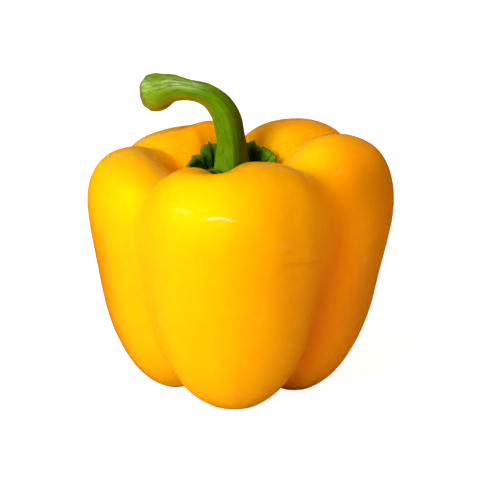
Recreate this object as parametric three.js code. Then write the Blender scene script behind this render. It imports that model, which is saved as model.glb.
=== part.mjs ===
// A yellow bell pepper: a lobed fruit, the star-shaped calyx in its crown, and a hooked stem.
// Millimetres, +Z up. The origin is on the ground, under the middle of the fruit.

import * as THREE from 'three';
import { mergeVertices } from 'three/addons/utils/BufferGeometryUtils.js';

// Driving dimensions of the fruit

const STEM_AXIS = { x: -2.1, y: -0.05 };  // the fruit's own axis, through crown and blossom end
const CROWN_HEIGHT = 61;                  // floor of the hollow that the stem stands in
const CROWN_RADIUS = 9;                   // radius of that floor
const BLOSSOM_HEIGHT = 9;                 // the dimple between the feet
const FOOT_HEIGHT = -2.2;                 // where the curve of a foot aims, just under the ground
const FOOT_CORNER = 2;                    // rise of the outer corner of a foot
const GROUND = 0;

// Each lobe: reach of its side, height of its shoulder, where the shoulder and the foot lie,
// how steeply it rises from the crown, the place of its ridge between its two grooves, how narrow
// it is, and how much narrower it is by the crown.
const LOBES = [
  // right
  { reach: 47.5, height: 76.4, shoulder: 24.7, foot: 19.5, rim: 0.92, ridge: 0.57, slim: 1.27, crown: 0.97 },
  // back right
  { reach: 44.8, height: 75.6, shoulder: 23.7, foot: 18, rim: 0.99, ridge: 0.36, slim: 0.4, crown: 0.65 },
  // back left
  { reach: 45.1, height: 72.8, shoulder: 21, foot: 16.7, rim: 1.12, ridge: 0.42, slim: 0.72, crown: 0.98 },
  // left
  { reach: 43.2, height: 71, shoulder: 24.6, foot: 17.9, rim: 0.89, ridge: 0.31, slim: 1.32, crown: 1.02 },
  // front
  { reach: 43.1, height: 72.9, shoulder: 30.4, foot: 18.7, rim: 1.03, ridge: 0.49, slim: 0.25, crown: 0.65 },
];

// The groove after each lobe: its bearing in degrees at the crown, the side and the foot.
const GROOVES = [
  { bearing: [29, 20, 24], depth: 0.57 },
  { bearing: [86, 85, 87], depth: 0.62 },
  { bearing: [156, 155, 155], depth: 0.44 },
  { bearing: [222, 221, 230], depth: 0.83 },
  { bearing: [318, 318, 312], depth: 0.81 },
];
const BEARING_HEIGHTS = [0.2, 0.5, 0.8];  // where along a meridian those bearings hold

// A short furrow that parts the crown end of the front lobe, and a swelling, which is less than 0
// deep, on the shoulder of the back left one
const FURROWS = [
  { bearing: 261, width: 12.5, depth: 0.61, middle: 0.24, length: 0.12 },
  { bearing: 146, width: 15, depth: -0.21, middle: 0.34, length: 0.16 },
];

// Driving dimensions of the calyx

const CALYX_GAP = 0.45;                   // clear of the fruit that it lies on
const CALYX_EDGE = 0.195;                 // its edge, as a share of the fruit's meridian
const CALYX_TOOTH = 0.04;                 // how much further a full tooth goes
const CALYX_WEB = 0.45;                   // how much of its reach and lift is left between two teeth
const CALYX_MIDDLE_THICKNESS = 2.1;
const CALYX_EDGE_THICKNESS = 0.9;
const TEETH = [                           // the lift stands a tip off the fruit
  { bearing: 3, reach: 0.9, lift: 1.4 },
  { bearing: 30, reach: 0.85, lift: 2.2 },
  { bearing: 57, reach: 0.85, lift: 3 },
  { bearing: 101, reach: 0.5, lift: 1 },
  { bearing: 139, reach: 0.55, lift: 1.7 },
  { bearing: 156, reach: 1.1, lift: 2.4 },
  { bearing: 213, reach: 0.6, lift: 0.8 },
  { bearing: 308, reach: 0.7, lift: 1.2 },
];

// Driving dimensions of the stem: points of its centre line from the fruit's axis, with its radius

const STEM_LINE = [
  { x: 0, y: 0, z: 64.3, radius: 5.6 },
  { x: 0, y: 0, z: 65.6, radius: 6.5 },
  { x: -0.1, y: 0, z: 67.5, radius: 5.7 },
  { x: -0.2, y: 0, z: 70.5, radius: 5.1 },
  { x: -0.4, y: 0, z: 75.5, radius: 4.45 },
  { x: -1.4, y: 0.1, z: 81.7, radius: 4.3 },
  { x: -3.7, y: 0.5, z: 86.4, radius: 3.9 },
  { x: -7.8, y: 1.3, z: 89.7, radius: 3.3 },
  { x: -13.2, y: 2.6, z: 90.8, radius: 3.2 },
  { x: -18, y: 4.2, z: 90.6, radius: 4.4 },
  { x: -21.9, y: 5.8, z: 89.4, radius: 5.6 },
  { x: -25.2, y: 7, z: 88.5, radius: 5.4 },
];
const STEM_RIBS = 5;
const STEM_RIB_HEIGHT = 0.035;            // as a share of the radius
const STEM_END_RISE = 0.8;                // the cut end is slightly domed

// Fineness of the three surfaces: steps around and steps along

const FRUIT_STEPS = [80, 44];
const CALYX_STEPS = [84, 14];
const STEM_STEPS = [30, 32];

const degrees = (radians) => THREE.MathUtils.radToDeg(radians);
const { lerp, smoothstep } = THREE.MathUtils;

// A closed surface: a sphere's grid, with every vertex moved to place(angle around, share along).
function closedSurface([around, along], place) {
  const geometry = new THREE.SphereGeometry(1, around, along);
  const { position, uv } = geometry.attributes;
  for (let i = 0; i < position.count; i += 1) {
    const point = place(2 * Math.PI * uv.getX(i), 1 - uv.getY(i));
    position.setXYZ(i, point.x, point.y, point.z);
  }
  geometry.deleteAttribute('normal');
  geometry.deleteAttribute('uv');
  const welded = mergeVertices(geometry);
  welded.computeVertexNormals();
  return welded;
}

// Straight-line reading of values given at rising places
function readAlong(places, values, place) {
  if (place <= places[0]) return values[0];
  for (let i = 1; i < places.length; i += 1) {
    if (place <= places[i]) {
      return lerp(values[i - 1], values[i], (place - places[i - 1]) / (places[i] - places[i - 1]));
    }
  }
  return values[values.length - 1];
}

// A cubic B-spline from the axis to the axis: its end points are mirrored across the axis,
// so that the surface crosses the axis square and smooth.
function meridianPoint(points, share) {
  const first = points[1];
  const last = points[points.length - 2];
  const all = [[-first[0], first[1]], ...points, [-last[0], last[1]]];
  const spans = all.length - 3;
  const place = THREE.MathUtils.clamp(share, 0, 1) * spans;
  const start = Math.min(Math.floor(place), spans - 1);
  const u = place - start;
  const weights = [(1 - u) ** 3, 3 * u ** 3 - 6 * u ** 2 + 4, -3 * u ** 3 + 3 * u ** 2 + 3 * u + 1, u ** 3];
  const sum = (axis) => weights.reduce((total, weight, k) => total + (weight * all[start + k][axis]) / 6, 0);
  return { radius: sum(0), height: sum(1) };
}

// Down the ridge of a lobe, from the crown to the blossom end: pairs of radius and height
function ridgeLine({ reach, height, shoulder, foot, rim }) {
  return [
    [0, CROWN_HEIGHT],
    [CROWN_RADIUS * 0.6, CROWN_HEIGHT],
    [CROWN_RADIUS * 1.15, lerp(CROWN_HEIGHT, height, 0.25)],
    [shoulder * 0.64, height * rim],
    [shoulder * 1.02, height * 1.05],
    [reach * 0.95, height * 1.01],
    [reach * 1.035, height * 0.78],
    [reach * 0.95, height * 0.52],
    [reach * 0.832, height * 0.19],
    [foot * 1.38, FOOT_HEIGHT + FOOT_CORNER],
    [foot * 0.75, FOOT_HEIGHT],
    [foot * 0.36, BLOSSOM_HEIGHT],
    [0, BLOSSOM_HEIGHT],
  ];
}

// Down the bottom of the groove between two lobes
function grooveLine(before, after, depth) {
  const mean = (key) => (before[key] + after[key]) / 2;
  const reach = mean('reach');
  const height = mean('height');
  const shoulder = mean('shoulder');
  const foot = mean('foot');
  return [
    [0, CROWN_HEIGHT],
    [CROWN_RADIUS * 0.6, CROWN_HEIGHT],
    [CROWN_RADIUS * 1.05, lerp(CROWN_HEIGHT, height, 0.12)],
    [shoulder * 0.64, lerp(CROWN_HEIGHT, height, 0.85 - 0.35 * depth)],
    [shoulder * 0.98, height * (1.04 - 0.12 * depth)],
    [reach * (0.94 - 0.14 * depth), height * (1 - 0.1 * depth)],
    [reach * (1.03 - 0.17 * depth), height * (0.78 - 0.03 * depth)],
    [reach * (0.95 - 0.13 * depth), height * 0.52],
    [reach * (0.82 - 0.16 * depth), height * 0.19],
    [foot * (1.38 - 0.4 * depth), FOOT_HEIGHT + FOOT_CORNER + 8 * depth],
    [foot * (0.75 - 0.15 * depth), FOOT_HEIGHT + 11 * depth],
    [foot * 0.36, BLOSSOM_HEIGHT],
    [0, BLOSSOM_HEIGHT],
  ];
}

// The lobe that a bearing falls in, and how far across it the bearing is
function lobeAt(bearing, share) {
  for (let i = 0; i < LOBES.length; i += 1) {
    const before = (i + LOBES.length - 1) % LOBES.length;
    const start = readAlong(BEARING_HEIGHTS, GROOVES[before].bearing, share);
    const end = readAlong(BEARING_HEIGHTS, GROOVES[i].bearing, share);
    const width = THREE.MathUtils.euclideanModulo(end - start, 360);
    const across = THREE.MathUtils.euclideanModulo(bearing - start, 360) / width;
    if (across < 1) return { i, before, across };
  }
  return { i: 0, before: LOBES.length - 1, across: 0 };
}

// 0 at a groove, 1 on the ridge: a rounded cushion whose grooves are softest at half height
function swell(lobe, across, share) {
  const softness = 0.1 + 0.4 * Math.exp(-(((share - 0.5) / 0.11) ** 2));
  const nearCrown = THREE.MathUtils.clamp((0.45 - share) / 0.35, 0, 1);
  const slim = lobe.slim * readAlong([0, 0.25, 0.5, 0.75, 1], [0.75, 0.65, 0.75, 0.55, 0.55], share)
    * lerp(1, lobe.crown, nearCrown);
  const arch = Math.sin(Math.PI * across ** (Math.log(0.5) / Math.log(lobe.ridge)));
  const low = softness ** slim;
  const high = (1 + softness ** 2) ** (slim / 2);
  return ((arch ** 2 + softness ** 2) ** (slim / 2) - low) / (high - low);
}

// How much the short furrows take off that
function furrowed(bearing, share) {
  return FURROWS.reduce((total, furrow) => {
    const aside = THREE.MathUtils.euclideanModulo(bearing - furrow.bearing + 180, 360) - 180;
    const across = Math.exp(-((aside / furrow.width) ** 2));
    const along = Math.exp(-(((share - furrow.middle) / furrow.length) ** 4));
    return total + furrow.depth * across * along;
  }, 0);
}

// The skin of the fruit: an angle round the axis, and a share of the way from crown to blossom end
function skinPoint(angle, share) {
  const bearing = degrees(angle);
  const { i, before, across } = lobeAt(bearing, share);
  const after = (i + 1) % LOBES.length;
  const lobe = LOBES[i];
  const raised = swell(lobe, across, share) - furrowed(bearing, share);
  const aside = across * across * (3 - 2 * across);
  const ridge = meridianPoint(ridgeLine(lobe), share);
  const left = meridianPoint(grooveLine(LOBES[before], lobe, GROOVES[before].depth), share);
  const right = meridianPoint(grooveLine(lobe, LOBES[after], GROOVES[i].depth), share);
  const radius = lerp(lerp(left.radius, right.radius, aside), ridge.radius, raised);
  const height = lerp(lerp(left.height, right.height, aside), ridge.height, raised);
  return new THREE.Vector3(
    STEM_AXIS.x + radius * Math.cos(angle),
    STEM_AXIS.y + radius * Math.sin(angle),
    height,
  );
}

function fruitGeometry() {
  return closedSurface(FRUIT_STEPS, (angle, share) => {
    const point = skinPoint(angle, share);
    point.z = Math.max(point.z, GROUND);
    return point;
  });
}

// The direction straight out of the fruit's crown
function skinNormal(angle, share) {
  const step = 1e-3;
  const down = skinPoint(angle, share + step).sub(skinPoint(angle, Math.max(share - step, 0)));
  const round = skinPoint(angle + step, share).sub(skinPoint(angle - step, share));
  const normal = new THREE.Vector3().crossVectors(round, down);
  if (normal.lengthSq() < 1e-12) return new THREE.Vector3(0, 0, 1);
  normal.normalize();
  return normal.z < 0 ? normal.negate() : normal;
}

// A tooth's own reach or lift at its tip, and the web's share of it half way to the next one
function toothShape(bearing, key) {
  for (let i = 0; i < TEETH.length; i += 1) {
    const next = TEETH[(i + 1) % TEETH.length];
    const width = THREE.MathUtils.euclideanModulo(next.bearing - TEETH[i].bearing, 360);
    const across = THREE.MathUtils.euclideanModulo(bearing - TEETH[i].bearing, 360) / width;
    if (across < 1) {
      const pointed = Math.sqrt(smoothstep(Math.abs(2 * across - 1), 0, 1));
      return lerp(CALYX_WEB, 1, pointed) * lerp(TEETH[i][key], next[key], across);
    }
  }
  return 0;
}

// The calyx is a plate over the crown: down its upper side to the edge, and back below
function calyxGeometry() {
  return closedSurface(CALYX_STEPS, (angle, share) => {
    const edge = CALYX_EDGE + CALYX_TOOTH * toothShape(degrees(angle), 'reach');
    const outward = 1 - Math.abs(2 * share - 1);
    const place = outward * edge;
    const upper = share < 0.5 ? 1 : 0;
    const thickness = lerp(CALYX_MIDDLE_THICKNESS, CALYX_EDGE_THICKNESS, smoothstep(outward, 0.2, 0.75));
    const curl = toothShape(degrees(angle), 'lift') * smoothstep(outward, 0.7, 1);
    const lift = CALYX_GAP + curl + upper * thickness;
    return skinPoint(angle, place).addScaledVector(skinNormal(angle, place), lift);
  });
}

// The stem runs from its cut end back to its foot on the calyx
function stemGeometry() {
  const onAxis = ({ x, y, z }) => new THREE.Vector3(STEM_AXIS.x + x, STEM_AXIS.y + y, z);
  const line = new THREE.CatmullRomCurve3(STEM_LINE.map(onAxis), false, 'catmullrom', 0.5);
  const girth = new THREE.SplineCurve(STEM_LINE.map(({ radius }, i) => new THREE.Vector2(i, radius)));
  const sideways = new THREE.Vector3(0, 1, 0);
  const row = 1 / STEM_STEPS[1];
  return closedSurface(STEM_STEPS, (angle, share) => {
    const along = 1 - THREE.MathUtils.clamp((share - row) / (1 - 2 * row), 0, 1);
    const tangent = line.getTangent(along);
    const across = new THREE.Vector3().crossVectors(sideways, tangent).normalize();
    const upright = new THREE.Vector3().crossVectors(tangent, across);
    const atTip = share < 0.5 * row;
    const onFace = atTip || share > 1 - 0.5 * row;
    const radius = onFace ? 0 : girth.getPoint(along).y * (1 + STEM_RIB_HEIGHT * Math.cos(STEM_RIBS * angle));
    return line.getPoint(along)
      .addScaledVector(across, radius * Math.cos(angle))
      .addScaledVector(upright, radius * Math.sin(angle))
      .addScaledVector(tangent, atTip ? STEM_END_RISE : 0);
  });
}

function piece(name, geometry, color, roughness) {
  const mesh = new THREE.Mesh(geometry, new THREE.MeshStandardMaterial({ color, roughness, metalness: 0 }));
  mesh.name = name;
  return mesh;
}

const pepper = new THREE.Group();
pepper.add(piece('fruit', fruitGeometry(), 0xfdb908, 0.28));
pepper.add(piece('calyx', calyxGeometry(), 0x1c4a14, 0.6));
pepper.add(piece('stem', stemGeometry(), 0x6ea016, 0.42));

export default pepper;
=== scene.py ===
"""The looks of a yellow bell pepper: a lobed waxy fruit, a leafy calyx and a hooked ribbed stem."""

import math

import bpy
import numpy as np
from bpy.props import FloatProperty, FloatVectorProperty, IntProperty, PointerProperty
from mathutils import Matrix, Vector, noise


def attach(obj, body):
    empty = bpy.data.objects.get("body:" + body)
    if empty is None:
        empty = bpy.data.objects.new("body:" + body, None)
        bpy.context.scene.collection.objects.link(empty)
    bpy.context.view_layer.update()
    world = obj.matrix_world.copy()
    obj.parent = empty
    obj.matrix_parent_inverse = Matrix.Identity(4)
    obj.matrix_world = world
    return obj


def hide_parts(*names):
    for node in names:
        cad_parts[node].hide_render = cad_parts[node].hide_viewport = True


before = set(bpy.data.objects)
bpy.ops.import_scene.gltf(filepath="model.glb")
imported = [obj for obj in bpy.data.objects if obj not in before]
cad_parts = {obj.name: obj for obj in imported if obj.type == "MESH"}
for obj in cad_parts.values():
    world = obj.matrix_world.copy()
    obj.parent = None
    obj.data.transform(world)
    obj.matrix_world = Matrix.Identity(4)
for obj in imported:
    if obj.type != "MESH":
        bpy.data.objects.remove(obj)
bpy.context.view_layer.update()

bl_info = {
    "name": "Bell Pepper",
    "version": (1, 0, 0),
    "blender": (4, 5, 0),
    "location": "3D View > Sidebar > Pepper",
    "description": "Grows a yellow bell pepper around its solid model and lights it",
    "category": "Add Mesh",
}

MM = 0.001
BODY = "root"

# The shape of the fruit, in millimetres and degrees, as in the solid model

STEM_AXIS = np.array([-2.1, -0.05])
CROWN_HEIGHT = 61.0
CROWN_RADIUS = 9.0
BLOSSOM_HEIGHT = 9.0
FOOT_HEIGHT = -2.2
FOOT_CORNER = 2.0

# The numbers of the lobes, grooves and furrows were first set by hand. Another program then moved
# them by a least-squares fit to the photo's outline and grooves, and they were rounded
LOBES = [
    dict(reach=47.5, height=76.4, shoulder=24.7, foot=19.5, rim=0.92, ridge=0.57, slim=1.27, crown=0.97),
    dict(reach=44.8, height=75.6, shoulder=23.7, foot=18.0, rim=0.99, ridge=0.36, slim=0.4, crown=0.65),
    dict(reach=45.1, height=72.8, shoulder=21.0, foot=16.7, rim=1.12, ridge=0.42, slim=0.72, crown=0.98),
    dict(reach=43.2, height=71.0, shoulder=24.6, foot=17.9, rim=0.89, ridge=0.31, slim=1.32, crown=1.02),
    dict(reach=43.1, height=72.9, shoulder=30.4, foot=18.7, rim=1.03, ridge=0.49, slim=0.25, crown=0.65),
]
GROOVES = [
    dict(bearing=(29.0, 20.0, 24.0), depth=0.57),
    dict(bearing=(86.0, 85.0, 87.0), depth=0.62),
    dict(bearing=(156.0, 155.0, 155.0), depth=0.44),
    dict(bearing=(222.0, 221.0, 230.0), depth=0.83),
    dict(bearing=(318.0, 318.0, 312.0), depth=0.81),
]
BEARING_SHARES = (0.2, 0.5, 0.8)
FURROWS = [
    dict(bearing=261.0, width=12.5, depth=0.61, middle=0.24, length=0.12),
    dict(bearing=146.0, width=15.0, depth=-0.21, middle=0.34, length=0.16),
]

# Shallow dents and swellings of the skin: where, how wide in degrees and share, how deep

DENTS = [
    dict(bearing=186.0, share=0.56, wide=24.0, tall=0.07, depth=0.7),
    dict(bearing=296.0, share=0.50, wide=7.0, tall=0.10, depth=0.25),
    dict(bearing=252.0, share=0.62, wide=9.0, tall=0.12, depth=0.22),
    dict(bearing=344.0, share=0.46, wide=8.0, tall=0.12, depth=0.3),
    dict(bearing=60.0, share=0.52, wide=10.0, tall=0.14, depth=0.4),
    dict(bearing=122.0, share=0.60, wide=9.0, tall=0.10, depth=0.3),
]

# Noise: how far apart two seeds lie in it, and what brings it to about -1 to 1

SEED_STEP = 17.3
NOISE_GAIN = 1.8

# Relief of the skin in millimetres: broad lumps, and ripples that are weaker as they get finer

LUMP_SIZE = 26.0
RIPPLES = [
    dict(share=1.0, size=8.0, seed=2, upright=2.6),
    dict(share=0.3, size=5.0, seed=4, upright=1.0),
    dict(share=0.1, size=2.4, seed=10, upright=1.0),
]
PUCKERS = dict(count=23, share=0.25, tall=0.05, height=0.06, wander=2.0, wander_size=14.0)
SCAR = dict(tall=0.018, height=0.8)
SCAR_LIP = dict(share=0.035, tall=0.012, height=0.35, waves=5)
FOOT_SOFTNESS = 0.35

# Where the skin gets painted shade in deeper orange: the side away from the key lamp, the far side of the
# crown, and one flank

SHADED_SIDE = dict(bearing=6.0, amount=0.86)
SHADED_CROWN_BEARING = 135.0
SHADED_FLANK = dict(bearing=186.0, wide=20.0, amount=0.8)

# Colour of the skin by place: paler patches of painted light, darker orange patches of painted shade,
# rubbed places, and small dry dots

# Patches of painted light in paler yellow
LIT_PATCHES = [
    dict(bearing=214.0, share=0.43, wide=8.0, tall=0.045, amount=0.42),
    dict(bearing=259.0, share=0.463, wide=17.0, tall=0.035, amount=0.5),
    dict(bearing=332.0, share=0.32, wide=14.0, tall=0.06, amount=0.35),
]
# Patches of painted shade in darker orange
SHADE_PATCHES = [
    dict(bearing=337.0, share=0.45, wide=13.0, tall=0.05, amount=0.62),
    dict(bearing=189.0, share=0.595, wide=15.0, tall=0.08, amount=0.45),
]
RUBBED = [
    dict(bearing=293.0, share=0.527, wide=4.0, tall=0.014, amount=0.8),
    dict(bearing=302.0, share=0.54, wide=6.0, tall=0.016, amount=1.0),
    dict(bearing=346.0, share=0.519, wide=2.0, tall=0.012, amount=0.8),
    dict(bearing=188.0, share=0.64, wide=9.0, tall=0.02, amount=0.7),
    dict(bearing=98.0, share=0.5, wide=10.0, tall=0.03, amount=0.8),
    dict(bearing=40.0, share=0.68, wide=7.0, tall=0.02, amount=0.7),
]
DOTS = [
    dict(bearing=334.2, share=0.56, wide=1.0, tall=0.003, amount=0.7),
    dict(bearing=330.0, share=0.398, wide=2.0, tall=0.005, amount=0.15),
    dict(bearing=302.5, share=0.529, wide=2.2, tall=0.004, amount=0.25),
    dict(bearing=292.0, share=0.508, wide=4.5, tall=0.0025, amount=0.25),
    dict(bearing=120.0, share=0.44, wide=1.2, tall=0.005, amount=0.8),
    dict(bearing=201.0, share=0.7, wide=1.0, tall=0.005, amount=0.6),
]

# The calyx

CALYX_GAP = 0.3
CALYX_EDGE = 0.195
CALYX_TOOTH = 0.04
CALYX_WEB = 0.6
CALYX_THICKNESS = 1.1
CALYX_ROUNDED_FROM = 0.93
CALYX_RAGGED = dict(coarse=0.0018, fine=0.001)
CALYX_CURL_START = 0.68
CALYX_COLLAR = dict(outward=0.40, wide=0.10, height=0.9)
CALYX_RIB_HEIGHT = 0.55
CALYX_FOLD_HEIGHT = 0.32
CALYX_FINE_HEIGHT = 0.14
CALYX_WAVE_HEIGHT = 0.35
TEETH = [
    dict(bearing=3.0, reach=0.9, lift=1.4),
    dict(bearing=30.0, reach=0.85, lift=2.2),
    dict(bearing=57.0, reach=0.85, lift=3.0),
    dict(bearing=101.0, reach=0.5, lift=1.0),
    dict(bearing=139.0, reach=0.55, lift=1.7),
    dict(bearing=156.0, reach=1.1, lift=2.4),
    dict(bearing=213.0, reach=0.6, lift=0.8),
    dict(bearing=308.0, reach=0.7, lift=1.2),
]

# The stem: points of its centre line from the fruit's axis, and its radius there

STEM_LINE = np.array([
    (0.0, 0.0, 64.3, 5.6),
    (0.0, 0.0, 65.6, 6.5),
    (-0.1, 0.0, 67.5, 5.7),
    (-0.2, 0.0, 70.5, 5.1),
    (-0.4, 0.0, 75.5, 4.45),
    (-1.4, 0.1, 81.7, 4.3),
    (-3.7, 0.5, 86.4, 3.9),
    (-7.8, 1.3, 89.7, 3.3),
    (-13.2, 2.6, 90.8, 3.2),
    (-18.0, 4.2, 90.6, 4.4),
    (-21.9, 5.8, 89.4, 5.6),
    (-25.2, 7.0, 88.5, 5.4),
])

# Its corners in degrees round it, how flat its sides are, how the corners turn, and its relief

STEM_CORNERS = (-84.0, -12.0, 58.0, 130.0, 206.0)
STEM_FLATNESS = 0.5
STEM_TURN_PLACES = (0.0, 0.45, 0.68, 0.9)
STEM_TURN = (0.0, 0.0, 8.0, -14.0)
STEM_KNOT_HEIGHT = 0.16
STEM_CUT_LIP = dict(spread=0.86, wide=0.09, height=0.45)
STEM_CUT_HOLLOW = dict(spread=0.55, wide=0.2, depth=0.35)
STEM_CUT_RISE = 0.35
STEM_CUT_GRAIN = 0.10
# Which way the painted sheen on the stalk's upper bend faces
STEM_SHEEN_WAY = np.array([0.0, -0.8, 0.6])

# Colours of marks, of painted light, shade, sheen and bounce light, of the cut end, and of what light and
# gloss meet round the pepper

WHITE = (1.0, 1.0, 1.0, 1.0)
PAINTED_LIGHT_YELLOW = (1.0, 0.68, 0.0, 1.0)
PAINTED_SHADE_ORANGE = (0.62, 0.2, 0.0, 1.0)
SPECK_YELLOW = (1.0, 0.72, 0.16, 1.0)
DOT_YELLOW = (1.0, 0.72, 0.2, 1.0)
RUBBED_ORANGE = (0.72, 0.24, 0.0, 1.0)
SCAR_BROWN = (0.16, 0.09, 0.03, 1.0)
PAINTED_SHEEN_GREEN = (0.75, 0.92, 0.5, 1.0)
PAINTED_BOUNCE_BROWN = (0.27, 0.2, 0.0, 1.0)
SPECK_GREEN = (0.62, 0.74, 0.32, 1.0)
CUT_GREEN = (0.21, 0.27, 0.06, 1.0)
CUT_BROWN = (0.2, 0.13, 0.05, 1.0)
FLOOR_CREAM = (0.68, 0.6, 0.5, 1.0)
FLOOR_IN_GLOSS = (0.3, 0.13, 0.0, 1.0)
WORLD_IN_GLOSS = (1.0, 0.5, 0.0, 1.0)
WORLD_GLOSS_STRENGTH = 0.3

# Lamps: bearings from the front and heights in degrees, distances and sizes in metres

SOFT_LAMPS = [
    dict(name="key", azimuth=-36, elevation=22, distance=0.9, size=0.45, colour=WHITE[:3]),
    dict(name="top", azimuth=-60, elevation=65, distance=0.9, size=0.6, colour=WHITE[:3]),
    dict(name="bounce", azimuth=84, elevation=3, distance=0.9, size=0.45, colour=(1.0, 0.47, 0.1)),
]
GLEAMS = [
    dict(name="gleam near", azimuth=-14, elevation=4, distance=0.9, size=0.46, height=0.010, watts=0.6),
    dict(name="gleam far", azimuth=-58, elevation=8, distance=0.9, size=0.4, height=0.010, watts=0.9),
    dict(name="rim", azimuth=180, elevation=26, distance=1.0, size=1.2, height=0.15, watts=0.16),
]
FLOOR_REACH = 4.0


# Numbers along a meridian

def spline(points, share):
    """A cubic B-spline that crosses the axis square at both of its ends."""
    points = np.asarray(points, dtype=float)
    mirror = np.array([-1.0, 1.0])
    points = np.vstack([points[1] * mirror, points, points[-2] * mirror])
    spans = len(points) - 3
    place = np.clip(share, 0.0, 1.0) * spans
    start = np.minimum(place.astype(int), spans - 1)
    u = place - start
    weights = (
        (1 - u) ** 3,
        3 * u ** 3 - 6 * u ** 2 + 4,
        -3 * u ** 3 + 3 * u ** 2 + 3 * u + 1,
        u ** 3,
    )
    return sum(points[start + k] * (weight / 6)[..., None] for k, weight in enumerate(weights))


def ridge_line(lobe):
    """Radius and height down the ridge of a lobe, from the crown to the blossom end."""
    reach, height = lobe["reach"], lobe["height"]
    shoulder, foot = lobe["shoulder"], lobe["foot"]
    return [
        (0.0, CROWN_HEIGHT),
        (CROWN_RADIUS * 0.6, CROWN_HEIGHT),
        (CROWN_RADIUS * 1.15, CROWN_HEIGHT + 0.25 * (height - CROWN_HEIGHT)),
        (shoulder * 0.64, height * lobe["rim"]),
        (shoulder * 1.02, height * 1.05),
        (reach * 0.95, height * 1.01),
        (reach * 1.035, height * 0.78),
        (reach * 0.95, height * 0.52),
        (reach * 0.832, height * 0.19),
        (foot * 1.38, FOOT_HEIGHT + FOOT_CORNER),
        (foot * 0.75, FOOT_HEIGHT),
        (foot * 0.36, BLOSSOM_HEIGHT),
        (0.0, BLOSSOM_HEIGHT),
    ]


def groove_line(before, after, depth):
    """Radius and height down the bottom of the groove between two lobes."""
    reach, height, shoulder, foot = (
        (before[key] + after[key]) / 2 for key in ("reach", "height", "shoulder", "foot")
    )
    return [
        (0.0, CROWN_HEIGHT),
        (CROWN_RADIUS * 0.6, CROWN_HEIGHT),
        (CROWN_RADIUS * 1.05, CROWN_HEIGHT + 0.12 * (height - CROWN_HEIGHT)),
        (shoulder * 0.64, CROWN_HEIGHT + (0.85 - 0.35 * depth) * (height - CROWN_HEIGHT)),
        (shoulder * 0.98, height * (1.04 - 0.12 * depth)),
        (reach * (0.94 - 0.14 * depth), height * (1 - 0.1 * depth)),
        (reach * (1.03 - 0.17 * depth), height * (0.78 - 0.03 * depth)),
        (reach * (0.95 - 0.13 * depth), height * 0.52),
        (reach * (0.82 - 0.16 * depth), height * 0.19),
        (foot * (1.38 - 0.4 * depth), FOOT_HEIGHT + FOOT_CORNER + 8 * depth),
        (foot * (0.75 - 0.15 * depth), FOOT_HEIGHT + 11 * depth),
        (foot * 0.36, BLOSSOM_HEIGHT),
        (0.0, BLOSSOM_HEIGHT),
    ]


def aside(bearing, middle):
    """How many degrees a bearing lies from a middle, from -180 to 180."""
    return (bearing - middle + 180) % 360 - 180


def smooth(value, low, high):
    """0 up to low, 1 from high on, and an even curve between them."""
    u = np.clip((value - low) / (high - low), 0.0, 1.0)
    return u * u * (3 - 2 * u)


def swell(lobe, across, share):
    """How far a lobe has risen, 0 in its grooves and 1 on its ridge, most softly half way down."""
    softness = 0.1 + 0.4 * np.exp(-((share - 0.5) / 0.11) ** 2)
    slim = lobe["slim"] * np.interp(share, (0, 0.25, 0.5, 0.75, 1), (0.75, 0.65, 0.75, 0.55, 0.55))
    slim = slim * (1 + (lobe["crown"] - 1) * np.clip((0.45 - share) / 0.35, 0, 1))
    arch = np.sin(np.pi * across ** (math.log(0.5) / math.log(lobe["ridge"])))
    low = softness ** slim
    high = (1 + softness ** 2) ** (slim / 2)
    return ((arch ** 2 + softness ** 2) ** (slim / 2) - low) / (high - low)


def skin(angle, share):
    """Points of the fruit's skin in millimetres, and how far each has risen out of its groove."""
    bearing = np.degrees(angle) % 360
    radius = np.zeros_like(bearing)
    height = np.zeros_like(bearing)
    raised = np.zeros_like(bearing)
    dips = sum(
        furrow["depth"]
        * np.exp(-(aside(bearing, furrow["bearing"]) / furrow["width"]) ** 2)
        * np.exp(-((share - furrow["middle"]) / furrow["length"]) ** 4)
        for furrow in FURROWS
    )
    for i, lobe in enumerate(LOBES):
        before, after = LOBES[i - 1], LOBES[(i + 1) % len(LOBES)]
        start = np.interp(share, BEARING_SHARES, GROOVES[i - 1]["bearing"])
        end = np.interp(share, BEARING_SHARES, GROOVES[i]["bearing"])
        across = ((bearing - start) % 360) / ((end - start) % 360)
        here = across < 1
        across = np.clip(across, 0.0, 1.0)
        rise = swell(lobe, across, share) - dips
        turn = (across * across * (3 - 2 * across))[..., None]
        valley = (1 - turn) * spline(groove_line(before, lobe, GROOVES[i - 1]["depth"]), share)
        valley += turn * spline(groove_line(lobe, after, GROOVES[i]["depth"]), share)
        point = valley * (1 - rise[..., None]) + spline(ridge_line(lobe), share) * rise[..., None]
        radius = np.where(here, point[..., 0], radius)
        height = np.where(here, point[..., 1], height)
        raised = np.where(here, rise, raised)
    x = STEM_AXIS[0] + radius * np.cos(angle)
    y = STEM_AXIS[1] + radius * np.sin(angle)
    return np.stack([x, y, height], axis=-1), raised


def skin_normals(angle, share, step=1e-3):
    """Directions straight out of the skin."""
    down = skin(angle, share + step)[0] - skin(angle, np.maximum(share - step, 0.0))[0]
    around = skin(angle + step, share)[0] - skin(angle - step, share)[0]
    normal = np.cross(down, around)
    length = np.linalg.norm(normal, axis=-1, keepdims=True)
    up = np.array([0.0, 0.0, 1.0])
    pole = np.where(share[..., None] < 0.5, up, -up)
    return np.where(length > 1e-9, normal / np.maximum(length, 1e-9), pole)


def patches(bearing, share, places, key):
    """The sum of soft oval patches, each as strong as its value under the key."""
    return sum(
        patch[key]
        * np.exp(-(aside(bearing, patch["bearing"]) / patch["wide"]) ** 2)
        * np.exp(-((share - patch["share"]) / patch["tall"]) ** 2)
        for patch in places
    )


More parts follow.
